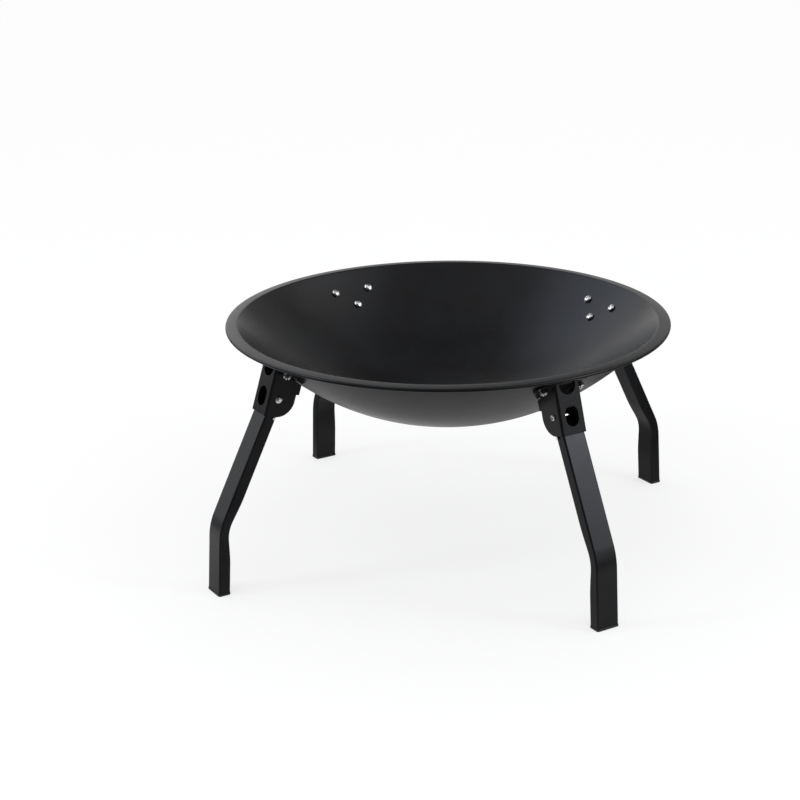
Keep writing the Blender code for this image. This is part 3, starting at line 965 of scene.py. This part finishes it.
@dataclass
class Leg:
    """Rectangular tube bent once at the knee, with a plastic cap in its lower end."""

    hinge: Hinge
    wall: float = 1.2 * MM
    corner: float = 2.0 * MM
    knee_height: float = 83.0 * MM
    knee_radius: float = 65.0 * MM
    # Bending has flattened the tube on its inner side, most in the middle of the bend
    flattening: float = 2.7 * MM
    flattening_reach: float = 45.0 * MM
    cutout_width: float = 19.5 * MM
    cutout_drop: float = 19.0 * MM
    cap_sole: float = 2.8 * MM
    cap_proud: float = 0.5 * MM
    cap_edge: float = 0.6 * MM
    plug_height: float = 12.0 * MM
    plug_wall: float = 1.5 * MM
    end_rounding: float = 0.25 * MM
    corner_steps: int = 6
    knee_steps: int = 20
    straight_steps: int = 8
    cutout_steps: int = 24
    hole_steps: int = 24
    cap_edge_steps: int = 4

    @property
    def knee(self) -> Vector:
        """Where the two straight parts of the leg meet, from the pivot."""
        drop = self.hinge.pivot.z - self.knee_height
        return Vector((drop * math.tan(self.hinge.leg_lean), 0, -drop))

    @property
    def top(self) -> float:
        """Length of the leg above the pivot, so that its end swings clear of the web."""
        clear = self.hinge.web_inner - self.hinge.swing_space
        return math.sqrt(clear**2 - (self.hinge.tube_depth / 2) ** 2)

    def section(self, inset: float) -> Section:
        """Outline the tube.

        Args:
            inset: Distance by which the outline is moved in, or out if negative.

        Returns:
            The outline, anticlockwise, with X square to the leg and outward, Y along the hinge.
        """
        corner = max(self.corner - inset, GAP)
        half_x = self.hinge.tube_depth / 2 - inset - corner
        half_y = self.hinge.tube_width / 2 - inset - corner
        points: Section = []
        for quarter, (x, y) in enumerate(((1, 1), (-1, 1), (-1, -1), (1, -1))):
            start = quarter * math.pi / 2
            points += arc((x * half_x, y * half_y), corner, start, start + math.pi / 2, self.corner_steps)
        return points

    def ring(self, centre: Vector, lean: float, section: Section) -> list[Vector]:
        """Set a section across the leg, which leans outward by this angle there."""
        outward = self.hinge.leg_outward(lean)
        return [centre + x * outward + Vector((0, y, 0)) for x, y in section]

    def foot_ring(self, section: Section, height: float) -> list[Vector]:
        """Carry a section along the lower leg to a level plane.

        Args:
            section: Outline of the ring.
            height: Height of the plane above the floor.

        Returns:
            The ring's points, from the pivot.
        """
        down = self.hinge.leg_direction(self.hinge.foot_splay)
        level = height - self.hinge.pivot.z
        ring = self.ring(self.knee, self.hinge.foot_splay, section)
        return [point + down * ((level - point.z) / down.z) for point in ring]

    def rings(self, section: Section) -> list[list[Vector]]:
        """Lay the tube's rings.

        Args:
            section: Outline of the tube.

        Returns:
            The rings from the top end to the level lower end, from the pivot.
        """
        lean, splay = self.hinge.leg_lean, self.hinge.foot_splay
        upper, lower = self.hinge.leg_direction(lean), self.hinge.leg_direction(splay)
        tangent = self.knee_radius * math.tan((lean - splay) / 2)
        start, end = self.knee - upper * tangent, self.knee + lower * tangent
        centre = start - self.knee_radius * self.hinge.leg_outward(lean)
        half_bend = self.knee_radius * (lean - splay) / 2
        straight = self.flattening_reach - half_bend
        runs = [straight * i / self.straight_steps for i in range(1, self.straight_steps + 1)]

        def ring(middle: Vector, turn: float, away: float) -> list[Vector]:
            """Set the section across the leg at a distance along it from the middle of the bend."""
            depth = self.flattening * (1 + math.cos(math.pi * away / self.flattening_reach)) / 2
            return self.ring(middle, turn, [(x + depth if x < 0 else x, y) for x, y in section])

        rings = [self.ring(-upper * self.top, lean, section)]
        rings += [ring(start - upper * run, lean, half_bend + run) for run in reversed(runs)]
        for i in range(self.knee_steps + 1):
            share = i / self.knee_steps
            turn = lean + (splay - lean) * share
            middle = centre + self.knee_radius * self.hinge.leg_outward(turn)
            rings.append(ring(middle, turn, half_bend * abs(2 * share - 1)))
        rings += [ring(end + lower * run, splay, half_bend + run) for run in runs]
        return rings + [self.foot_ring(section, self.cap_sole + GAP)]

    def tube(self) -> Mesh:
        """Build the tube about the pivot, with its holes for the rivet and the pin."""
        outside, inside = self.rings(self.section(0)), self.rings(self.section(self.wall))
        tube = lofted("leg", outside + inside[::-1], closed=True)
        half, reach = self.cutout_width / 2, self.hinge.tube_width
        cutout = [(half, 2 * self.top), (-half, 2 * self.top)]
        cutout += arc((0, half - self.cutout_drop), half, math.pi, 2 * math.pi, self.cutout_steps)
        square_to_leg = Matrix.Rotation(-self.hinge.leg_lean, 4, "Y") @ FRONT_VIEW
        at_pin = Matrix.Translation(self.hinge.pin_place) @ HINGE_VIEW
        rivet_hole = circle((0, 0), self.hinge.rivet_radius + GAP, self.hole_steps)
        pin_hole = circle((0, 0), self.hinge.pin_radius + GAP / 2, self.hole_steps)
        cutters = [
            extruded("cutout", cutout, 0, self.hinge.tube_depth, square_to_leg),
            extruded("rivet_hole", rivet_hole, -reach, reach, HINGE_VIEW),
            extruded("pin_hole", pin_hole, -reach, reach, at_pin),
        ]
        return rounded_off(combined(tube, cutters, "DIFFERENCE"), self.end_rounding)

    def cap(self) -> Mesh:
        """Build the foot cap about the pivot: a sole with a round edge, and a hollow plug up the tube."""
        plug, hollow = self.wall + GAP, self.wall + GAP + self.plug_wall
        sole, top = self.cap_sole, self.cap_sole + self.plug_height
        rounding = arc((0, self.cap_edge), self.cap_edge, -math.pi / 2, 0, self.cap_edge_steps)
        levels = [(self.cap_edge - x - self.cap_proud, z) for x, z in rounding]
        levels += [(-self.cap_proud, sole - self.end_rounding), (self.end_rounding - self.cap_proud, sole)]
        levels += [(plug, sole), (plug, top), (hollow, top), (hollow, sole)]
        return rounded_off(lofted("foot_cap", [self.foot_ring(self.section(inset), z) for inset, z in levels]))

    def show(self, finishes: Finishes) -> None:
        """Show a leg and its cap at each station."""
        place, coat, plastic = Matrix.Translation(self.hinge.pivot), finishes.frame_coat, finishes.plastic
        show_at_stations("folding_leg", self.tube(), place, "leg", coat, Slot.HEAT_COAT, folds=True)
        show_at_stations("foot_plug", self.cap(), place, "foot_cap", plastic, Slot.CAP_PLASTIC, folds=True)


@dataclass
class PivotRivet:
    """Rivet through both ears and the leg: a domed head, and a hollow tail that is peened over."""

    hinge: Hinge
    head_radius: float = 4.75 * MM
    head_height: float = 2.2 * MM
    tail_flare: float = 0.6 * MM
    tail_height: float = 1.2 * MM
    # Radius of the tail's dimple at its mouth, near its bottom and at its bottom
    dimple_radii: tuple[float, float, float] = (1.8 * MM, 1.62 * MM, 0.9 * MM)
    arc_steps: int = 10
    steps: int = 48

    def mesh(self) -> Mesh:
        """Build the rivet along Z, with its head above Z = 0."""
        radius, length = self.hinge.rivet_radius, 2 * self.hinge.half_width + 2 * GAP
        tail, rim = -length - self.tail_height, radius + self.tail_flare
        mouth, near_bottom, bottom = self.dimple_radii
        lip = (rim - mouth) / 2
        profile = dome(self.head_radius, GAP, self.head_height, self.arc_steps)
        profile += [(self.head_radius, GAP / 3), (self.head_radius - GAP / 3, 0), (radius, 0), (radius, -length)]
        profile += [(rim - GAP / 2, -length), (rim, -length - GAP / 2)]
        profile += arc((rim - lip, tail + lip), lip, 0, -math.pi, self.arc_steps)
        profile += [(near_bottom, tail + lip + GAP), (bottom, -length - GAP), (0, -length - GAP / 2)]
        return rounded_off(turned("pivot_rivet", profile, self.steps))

    def show(self, finishes: Finishes) -> None:
        """Show a rivet at each station."""
        head = self.hinge.pivot + Vector((0, self.hinge.half_width + GAP, 0))
        place = Matrix.Translation(head) @ ALONG_HINGE
        show_at_stations("hinge_rivet", self.mesh(), place, "pivot_rivet", finishes.zinc, Slot.ZINC)


@dataclass
class RestPin:
    """Steel pin across the leg, just outside the round edges of the ears."""

    hinge: Hinge
    rounding: float = 0.4 * MM
    rounding_steps: int = 5
    steps: int = 32

    def mesh(self) -> Mesh:
        """Build the pin along Z, as long as the bracket is wide."""
        end, radius = self.hinge.half_width, self.hinge.pin_radius
        centre = (radius - self.rounding, end - self.rounding)
        corner = arc(centre, self.rounding, math.pi / 2, 0, self.rounding_steps)
        profile = [(0, end)] + corner + [(r, -z) for r, z in reversed(corner)] + [(0, -end)]
        return rounded_off(turned("stop_pin", profile, self.steps))

    def show(self, finishes: Finishes) -> None:
        """Show a pin in each leg."""
        place = Matrix.Translation(self.hinge.pivot + self.hinge.pin_place) @ ALONG_HINGE
        show_at_stations("rest_pin", self.mesh(), place, "stop_pin", finishes.zinc, Slot.ZINC, folds=True)


@dataclass
class Fastener:
    """Pan-head bolt with a cross recess, and its hexagon nut."""

    bowl: Bowl
    bracket: Bracket
    radius: float = 2.5 * MM
    head_radius: float = 5.2 * MM
    head_height: float = 3.4 * MM
    head_edge: float = 1.2 * MM
    head_rounding: float = 0.25 * MM
    seat_rise: float = 0.7 * MM
    pitch: float = 0.8 * MM
    thread_depth: float = 0.45 * MM
    # How full each turn of the thread is, and how many turns it takes to run in and out
    thread_fullness: float = 1.25
    thread_run_out: float = 2 / 3
    thread_rows: int = 8
    proud: float = 1.5 * MM
    recess_depth: float = 2.1 * MM
    # Reach and half width of the cross recess, at the top of the head and at its bottom
    recess_top: Point = (2.9 * MM, 0.65 * MM)
    recess_bottom: Point = (1.305 * MM, 0.39 * MM)
    across_flats: float = 8.0 * MM
    nut_height: float = 4.0 * MM
    nut_bore: float = 2.6 * MM
    nut_chamfer: float = 0.5 * MM
    # Radii of the nut's cone, as shares of the hexagon's inner and outer radius
    cone_end: float = 0.97
    cone_middle: float = 1.03
    nut_rounding: float = 0.12 * MM
    # Least angle in degrees of the nut's rounded edges
    nut_edge_angle: float = 25.0
    # Fasteners end up at any angle, so each is turned this much more than the one before
    turn_step: float = math.radians(137.5)
    crown_steps: int = 14
    rounding_steps: int = 4
    steps: int = 48

    @property
    def nut_seat(self) -> float:
        """Depth of the nut's seat under the wall's inner face."""
        return self.bracket.plate_bottom + GAP

    def recess(self) -> Mesh:
        """Build the cutter of the cross recess, narrower towards its bottom."""
        top = self.seat_rise + self.head_height + GAP
        rings = []
        for height, (reach, half) in ((top, self.recess_top), (top - self.recess_depth, self.recess_bottom)):
            arm = [Vector(point) for point in ((half, half, height), (half, reach, height), (-half, reach, height))]
            rings.append([Matrix.Rotation(quarter * math.pi / 2, 3, "Z") @ p for quarter in range(4) for p in arm])
        return lofted("recess", rings)

    def bolt(self) -> Mesh:
        """Build the bolt along Z: head above the wall, threaded shank out through the wall, the plate and the nut."""
        seat, edge = self.seat_rise, self.seat_rise + self.head_edge
        end = -(self.nut_seat + self.nut_height + self.proud)
        profile = dome(self.head_radius, edge, seat + self.head_height, self.crown_steps)
        centre = (self.head_radius - self.head_rounding, seat + self.head_rounding)
        profile += arc(centre, self.head_rounding, 0, -math.pi / 2, self.rounding_steps)
        root = self.radius - self.thread_depth
        profile += [(root, seat), (root, end + GAP), (root - GAP, end), (0, end)]
        body = combined(turned("bolt", profile, self.steps), [self.recess()], "DIFFERENCE")
        body = rounded_off(cleaned(body))
        bm = bmesh.new()
        bm.from_mesh(body)
        skin(bm, self.thread(end + GAP / 2, -self.bowl.sheet), closed=False, filled=False)
        bm.to_mesh(body)
        bm.free()
        return body

    def thread(self, low: float, high: float) -> list[list[Vector]]:
        """Wrap the thread round the shank as a helical ridge.

        Args:
            low: Lower end of the thread.
            high: Upper end of the thread.

        Returns:
            The rings of the thread, from its lower end.
        """
        rows = int((high - low) / self.pitch * self.thread_rows)
        run_out = self.thread_run_out * self.thread_rows
        rings = []
        for row in range(rows + 1):
            z = low + (high - low) * row / rows
            fade = min(1.0, row / run_out, (rows - row) / run_out)
            ring = []
            for i in range(self.steps):
                phase = (z / self.pitch + i / self.steps) % 1
                height = min(self.thread_fullness * (1 - abs(2 * phase - 1)), 1.0)
                radius = self.radius - self.thread_depth * (1 - height * fade)
                a = 2 * math.pi * i / self.steps
                ring.append(Vector((radius * math.cos(a), radius * math.sin(a), z)))
            rings.append(ring)
        return rings

    def nut(self) -> Mesh:
        """Build the nut along Z: a hexagon turned to a cone at both ends, with a countersunk bore."""
        flat = self.across_flats / 2
        corner = flat / math.cos(math.pi / 6)
        low, high = -(self.nut_seat + self.nut_height), -self.nut_seat
        top, bottom = high - self.nut_chamfer, low + self.nut_chamfer
        prism = extruded("nut", arc((0, 0), corner, 0, 2 * math.pi, 6)[:-1], low, high, Matrix.Identity(4))
        end, middle = flat * self.cone_end, corner * self.cone_middle
        cone = [(0, high), (end, high), (middle, top), (middle, bottom), (end, low), (0, low)]
        prism = combined(prism, [turned("cone", cone, 4 * self.steps)], "INTERSECT")
        # The bore's sink runs on past both ends of the nut
        above, below, sink = high + MM, low - MM, self.nut_bore + self.nut_chamfer + MM
        bore = [(0, above), (sink, above), (self.nut_bore, top), (self.nut_bore, bottom), (sink, below), (0, below)]
        prism = combined(prism, [turned("bore", bore, self.steps)], "DIFFERENCE")
        return rounded_off(cleaned(prism), self.nut_rounding, self.nut_edge_angle)

    def show(self, finishes: Finishes) -> None:
        """Show a bolt and a nut at each place of each station."""
        bolt, nut = self.bolt(), self.nut()
        places = [(station, where) for station in Station for where in BoltPlace]
        for count, (station, where) in enumerate(places):
            seat = station.turn @ self.bowl.seat(where)
            turn = Matrix.Rotation(count * self.turn_step, 4, "Z")
            back = Matrix.Rotation(-count * self.turn_step / 2, 4, "Z")
            for name, mesh, place, node in (("pan_bolt", bolt, turn, "bolt"), ("hex_nut", nut, back, "nut")):
                label = f"{where.value}_{station.label}"
                at, zinc = seat @ place, finishes.zinc
                show_piece(f"{name}_{label}", mesh, at, "bowl_body", f"{node}_{label}", zinc, Slot.ZINC)


# Studio


def way(azimuth: float, elevation: float, toward_camera: Vector) -> Vector:
    """Point from the bowl into the room.

    Args:
        azimuth: Degrees to the right of the camera.
        elevation: Degrees above the level.
        toward_camera: Level direction from the bowl to the camera.

    Returns:
        The direction, of length 1.
    """
    rise = math.radians(elevation)
    level = Matrix.Rotation(math.radians(azimuth), 3, "Z") @ toward_camera * math.cos(rise)
    return level + Vector((0, 0, math.sin(rise)))


@dataclass(frozen=True)
class WallGlow:
    """Lit part of the room's walls or ceiling, as glossy rays see it."""

    azimuth: float
    elevation: float
    level: float
    tint: str = "#ffffff"
    # Angle in degrees from its middle to its end, and to where it starts to fade
    spread: tuple[float, float] = (32.0, 4.0)


@dataclass(frozen=True)
class PaperGlow:
    """Patch of painted light on the paper round the bowl: a glow that only glossy rays see, standing in for the light
    and shade on the paper.
    """

    azimuth: float
    distance: float
    level: float
    radius: float = 0.45


@dataclass(frozen=True)
class Softbox:
    """Lamp with a plain diffusing front."""

    name: str
    # Degrees to the right of the direction from the bowl to the camera, and above the level
    azimuth: float
    elevation: float
    width: float
    height: float
    # Brightness of its face, where 1 is white
    level: float
    tint: str
    distance: float = 2.4
    aim_height: float = 0.2

    def hang(self, toward_camera: Vector) -> None:
        """Hang the lamp so that it faces the bowl.

        Args:
            toward_camera: Level direction from the bowl to the camera.
        """
        lamp = bpy.data.lights.new(self.name, "AREA")
        lamp.shape = "RECTANGLE"
        lamp.size, lamp.size_y = self.width, self.height
        lamp.energy = self.level * math.pi * self.width * self.height
        lamp.color = linear(self.tint)[:3]
        out = way(self.azimuth, self.elevation, toward_camera)
        item = placed(self.name, lamp)
        item.location = Vector((0, 0, self.aim_height)) + out * self.distance
        item.rotation_euler = out.to_track_quat("Z", "Y").to_euler()
        log.info("%s hung", self.name)


def split(tree: NodeTree, rest: Node, mirrored: Node, seen: Node, direct: Sequence[str]) -> Node:
    """Shade each kind of ray by itself.

    Args:
        tree: Node tree that gets the nodes.
        rest: Shader that lights the pieces.
        mirrored: Shader that glossy rays see.
        seen: Shader that direct rays see.
        direct: Kinds of direct rays, as the light path names them.

    Returns:
        The node that gives the shader of every ray.
    """
    kinds = add_node(tree, "LightPath").outputs
    shader = add_node(tree, "MixShader", {0: kinds["Is Glossy Ray"], 1: rest, 2: mirrored})
    for kind in direct:
        shader = add_node(tree, "MixShader", {0: kinds[kind], 1: shader, 2: seen})
    return shader


@dataclass
class Studio:
    """Pale floor, soft lamps, white backdrop and the camera."""

    floor_radius: float = 60.0
    floor_steps: int = 96
    floor_grey: str = "#c8c8c8"
    floor_shadow: float = 0.35
    open_floor_light: float = 0.86
    camera_place: tuple[float, float, float] = (0.46691, -2.15767, 0.95330)
    camera_turns: tuple[float, float, float] = (13.7775, 70.7240, -0.8462)
    lens: float = 83.412
    sensor: float = 36.0
    room_level: float = 0.80
    # What glossy rays see: big white walls to the left and right, a low one behind, and the rest of the room dark
    dark_level: float = 0.05
    wall_glows: tuple[WallGlow, ...] = (
        WallGlow(-90.0, 36.0, 1.0, "#e4edff"),
        WallGlow(-120.0, 36.0, 2.1, "#e4edff"),
        WallGlow(-150.0, 36.0, 0.2),
        WallGlow(60.0, 36.0, 1.3, "#f2f6ff"),
        WallGlow(90.0, 36.0, 1.6),
        WallGlow(120.0, 36.0, 0.4),
        WallGlow(-60.0, 64.0, 0.8),
        WallGlow(60.0, 64.0, 0.6),
        WallGlow(180.0, 64.0, 0.2),
        WallGlow(-150.0, 8.0, 0.72),
        WallGlow(180.0, 8.0, 0.5),
        WallGlow(150.0, 8.0, 0.4),
        WallGlow(-166.0, 24.0, 0.4, spread=(22.0, 3.0)),
        WallGlow(-115.0, 3.0, 1.3, spread=(24.0, 4.0)),
        WallGlow(70.0, 6.0, 1.2, spread=(24.0, 4.0)),
    )
    # Painted light on the floor, which only glossy rays see: a base glow and brighter patches that stand in for the
    # light and shade on the paper
    paper_level: float = 0.16
    paper_glows: tuple[PaperGlow, ...] = (
        PaperGlow(0.0, 0.0, 0.22),
        PaperGlow(-60.0, 0.33, 0.35),
        PaperGlow(0.0, 0.33, 0.14),
        PaperGlow(60.0, 0.33, 0.40),
        PaperGlow(-95.0, 0.60, 0.90),
        PaperGlow(45.0, 0.62, 0.55),
        PaperGlow(-159.0, 0.24, 0.55, radius=0.25),
        PaperGlow(128.0, 0.30, 0.22, radius=0.25),
    )
    softboxes: tuple[Softbox, ...] = (
        Softbox("right_softbox", 68.0, 25.0, 0.45, 0.50, 12.0, "#e6efff"),
        Softbox("left_softbox", -74.0, 30.0, 0.45, 0.60, 9.0, "#eef4ff"),
    )

    @property
    def looking(self) -> Vector:
        """Level direction that the camera looks in."""
        turn = math.radians(self.camera_turns[0])
        return Vector((-math.sin(turn), math.cos(turn), 0))

    def lay_floor(self) -> None:
        """Lay a plain floor. The eye sees it white apart from shadows, glossy rays see it glow with painted light and
        shade, and other rays see its pale grey.
        """
        bm = bmesh.new()
        bmesh.ops.create_circle(bm, cap_ends=True, radius=self.floor_radius, segments=self.floor_steps)
        floor = placed("pale_floor", mesh_from(bm, "pale_floor"))
        material = bpy.data.materials.new("matt_white_paper")
        material.use_nodes = True
        # The floor's emission, white for the eye and painted light for glossy rays, shines only for the rays below,
        # which no lamp sampling follows
        material.cycles.emission_sampling = "NONE"
        tree = material.node_tree
        tree.nodes.clear()
        paint = add_node(tree, "BsdfDiffuse", {"Color": linear(self.floor_grey)})
        shade = add_node(tree, "BsdfDiffuse", {"Color": (self.floor_shadow,) * 3 + (1.0,)})
        fill = 1 - self.floor_shadow * self.open_floor_light
        lift = add_node(tree, "Emission", {"Color": WHITE, "Strength": fill})
        seen = add_node(tree, "AddShader", {0: shade, 1: lift})
        place = add_node(tree, "NewGeometry").outputs["Position"]
        # Glossy rays see the floor glow with painted light: a base level plus patches that stand in for the lamps'
        # light and the bowl's shade on the paper
        level: Node | float = self.paper_level
        for glow in self.paper_glows:
            middle = way(glow.azimuth, 0, -self.looking) * glow.distance
            away = add_node(tree, "VectorMath", {0: place, 1: middle}, operation="DISTANCE").outputs["Value"]
            fade = {"Value": away, "From Min": glow.radius, "From Max": 0.0, "To Max": glow.level}
            share = add_node(tree, "MapRange", fade, interpolation_type="SMOOTHSTEP")
            level = add_node(tree, "Math", {0: share, 1: level}, operation="ADD")
        mirrored = add_node(tree, "Emission", {"Color": WHITE, "Strength": level})
        shader = split(tree, paint, mirrored, seen, ["Is Camera Ray"])
        add_node(tree, "OutputMaterial", {"Surface": shader})
        floor.data.materials.append(material)
        log.info("pale floor laid")

    def paint_world(self) -> None:
        """Give the eye a white backdrop, glossy rays a shaded room, and the rest plain light."""
        world = bpy.data.worlds.new("studio_room")
        world.use_nodes = True
        # Each kind of ray finds its own level by itself
        world.cycles.sampling_method = "NONE"
        tree = world.node_tree
        tree.nodes.clear()
        toward = add_node(tree, "TexCoord").outputs["Generated"]
        light: Node | tuple[float, ...] = (self.dark_level,) * 3
        for glow in self.wall_glows:
            axis = way(glow.azimuth, glow.elevation, -self.looking)
            near = add_node(tree, "VectorMath", {0: toward, 1: axis}, operation="DOT_PRODUCT").outputs["Value"]
            end, start = (math.cos(math.radians(angle)) for angle in glow.spread)
            fade = {"Value": near, "From Min": end, "From Max": start, "To Max": glow.level}
            share = add_node(tree, "MapRange", fade, interpolation_type="SMOOTHSTEP")
            tinted = {0: linear(glow.tint)[:3], 1: share, 2: light}
            light = add_node(tree, "VectorMath", tinted, operation="MULTIPLY_ADD")
        shades = ((WHITE, self.room_level), (light, 1.0), (WHITE, 1.0))
        room, mirrored, white = (add_node(tree, "Background", {"Color": c, "Strength": s}) for c, s in shades)
        shader = split(tree, room, mirrored, white, ["Is Camera Ray", "Is Transmission Ray"])
        add_node(tree, "OutputWorld", {"Surface": shader})
        bpy.context.scene.world = world
        log.info("studio room painted")

    def set_camera(self) -> None:
        """Set the camera at the angle of the photograph."""
        camera = bpy.data.cameras.new("studio_camera")
        camera.lens, camera.sensor_width = self.lens, self.sensor
        item = placed("studio_camera", camera)
        swing, tilt, roll = (math.radians(a) for a in self.camera_turns)
        turns = Matrix.Rotation(swing, 4, "Z") @ Matrix.Rotation(tilt, 4, "X") @ Matrix.Rotation(roll, 4, "Z")
        item.matrix_world = Matrix.Translation(self.camera_place) @ turns
        bpy.context.scene.camera = item
        log.info("camera set")

    def set_up(self) -> None:
        """Set up the whole studio."""
        self.lay_floor()
        self.paint_world()
        for softbox in self.softboxes:
            softbox.hang(-self.looking)
        self.set_camera()
        bpy.context.scene.view_settings.view_transform = "Standard"


def main() -> None:
    """Build every sub-assembly in turn, dress it and set up the studio."""
    logging.basicConfig(level=logging.INFO, format="%(name)s: %(message)s")
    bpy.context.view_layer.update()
    finishes = Finishes.made()
    bowl, hinge = Bowl(), Hinge()
    bracket = Bracket(bowl, hinge)
    for assembly in (bowl, bracket, Leg(hinge), PivotRivet(hinge), RestPin(hinge), Fastener(bowl, bracket)):
        assembly.show(finishes)
        log.info("%s done", type(assembly).__name__)
    Studio().set_up()


if __name__ == "__main__":
    main()
